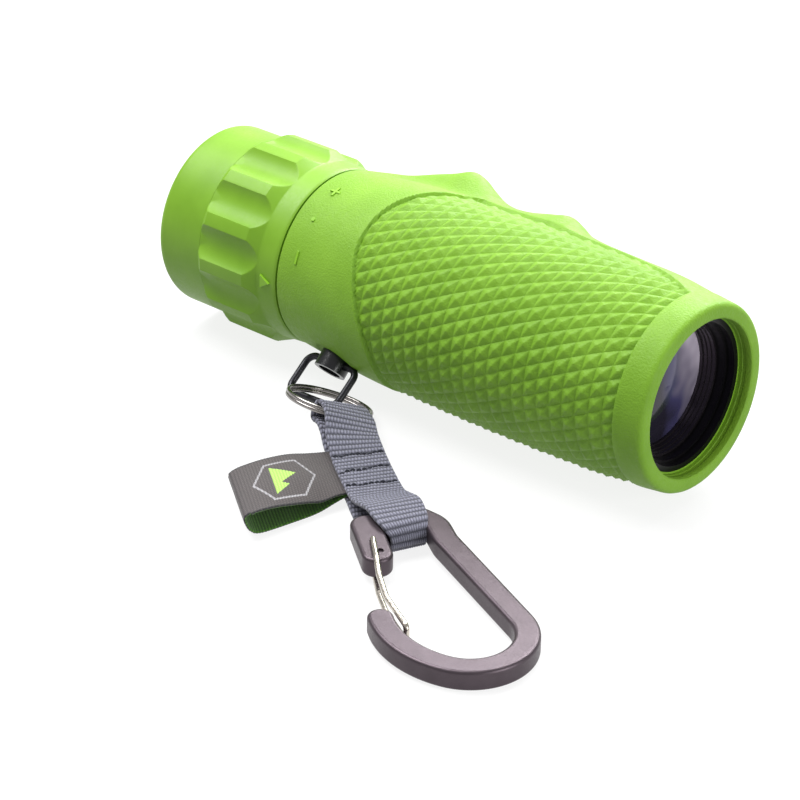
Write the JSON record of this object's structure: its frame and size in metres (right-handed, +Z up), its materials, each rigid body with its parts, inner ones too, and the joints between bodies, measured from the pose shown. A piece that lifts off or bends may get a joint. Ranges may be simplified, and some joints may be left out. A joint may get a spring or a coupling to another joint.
{
  "type": "handheld monocular",
  "caption": "Rubber-armoured handheld monocular with a fluted focus ring, eyecup and a wrist strap ending in a small wire-gate carabiner.",
  "frame": {"origin": "centre of the objective's front lip, on the optical axis", "axes": "+X out of the objective along the optical axis, +Z up with the monocular lying on its side on a table at z = -20 mm, +Y to the side away from the strap"},
  "size_m": [0.1333, 0.0985, 0.0405],
  "materials": {
    "armour_rubber": "moulded, fine grain with a knurled panel",
    "grip_rubber": "moulded, smooth satin",
    "shell_alloy": "anodised, satin",
    "black_alloy": "black anodised, satin",
    "coated_glass": "anti-reflection coated",
    "prism_glass": "polished",
    "seal_rubber": "matte",
    "inner_plastic": "matte black",
    "spring_steel": "bright",
    "black_plastic": "gloss black",
    "black_wire": "black satin coat",
    "plated_steel": "polished nickel plate",
    "webbing": "coarse woven",
    "woven_label": "fine ribbed weave",
    "gunmetal_alloy": "satin anodised",
    "gate_wire": "bright drawn wire"
  },
  "bodies": {
    "barrel": {"armour_sleeve": "armour_rubber", "main_barrel": "shell_alloy", "objective_cell": "black_alloy", "objective_retaining_ring": "black_alloy", "objective_crown_lens": "coated_glass", "objective_flint_lens": "coated_glass", "objective_seal_ring": "seal_rubber", "baffle_tube": "inner_plastic", "prism_cage": "inner_plastic", "half_penta_prism": "prism_glass", "roof_prism": "prism_glass", "prism_clips": "spring_steel", "cage_screws": "black_alloy", "strap_stud": "black_plastic", "focus_damping_ring": "seal_rubber", "focus_circlip": "spring_steel"},
    "focus_ring": {"focus_ring_core": "shell_alloy", "focus_grip": "grip_rubber"},
    "eyepiece": {"eyepiece_tube": "black_alloy", "guide_pin": "spring_steel", "eyecup": "grip_rubber", "field_stop": "black_alloy", "field_lens": "prism_glass", "eyepiece_spacer": "black_alloy", "eye_group_spacer": "black_alloy", "eye_lens_flint": "coated_glass", "eye_lens_crown": "coated_glass", "eye_lens_retainer": "black_alloy"},
    "bail": {"bail": "black_wire"},
    "split_ring": {"split_ring": "plated_steel"},
    "strap": {"strap_webbing": "webbing", "strap_label": "woven_label"},
    "carabiner": {"carabiner_body": "gunmetal_alloy"},
    "gate": {"carabiner_gate": "gate_wire"}
  },
  "joints": [
    {"name": "focus_turn", "type": "hinge", "parent": "barrel", "child": "focus_ring", "pos_m": [-0.0955, 0, 0], "axis": [-1, 0, 0], "range_deg": [0, 94]},
    {"name": "focus_travel", "type": "slide", "parent": "barrel", "child": "eyepiece", "axis": [-1, 0, 0], "range_m": [0, 0.003]},
    {"name": "bail_swing", "type": "hinge", "parent": "barrel", "child": "bail", "pos_m": [-0.0758, -0.01434, -0.01337], "axis": [0.9934, -0.0784, 0.0841], "range_deg": [-20, 50]},
    {"name": "ring_swing", "type": "hinge", "parent": "bail", "child": "split_ring", "pos_m": [-0.07588, -0.02087, -0.01848], "axis": [0.9934, -0.0784, 0.0841], "range_deg": [-30, 5]},
    {"name": "strap_swing", "type": "hinge", "parent": "split_ring", "child": "strap", "pos_m": [-0.06247, -0.02517, -0.01545], "axis": [0.307, 0.8719, -0.3816], "range_deg": [-15, 15]},
    {"name": "carabiner_swing", "type": "hinge", "parent": "strap", "child": "carabiner", "pos_m": [-0.03128, -0.04827, -0.01661], "axis": [0.4022, 0.9155, -0.0009], "range_deg": [-5, 5]},
    {"name": "gate_open", "type": "hinge", "parent": "carabiner", "child": "gate", "pos_m": [-0.02804, -0.05627, -0.0168], "axis": [0.0291, -0.0118, 0.9995], "range_deg": [0, 26], "stiffness_Nm_per_rad": 0.05, "springref_deg": -17.19}
  ],
  "couplings": [
    {"joint": "focus_turn", "follows": "focus_travel", "rad_per_m": 546.85}
  ]
}
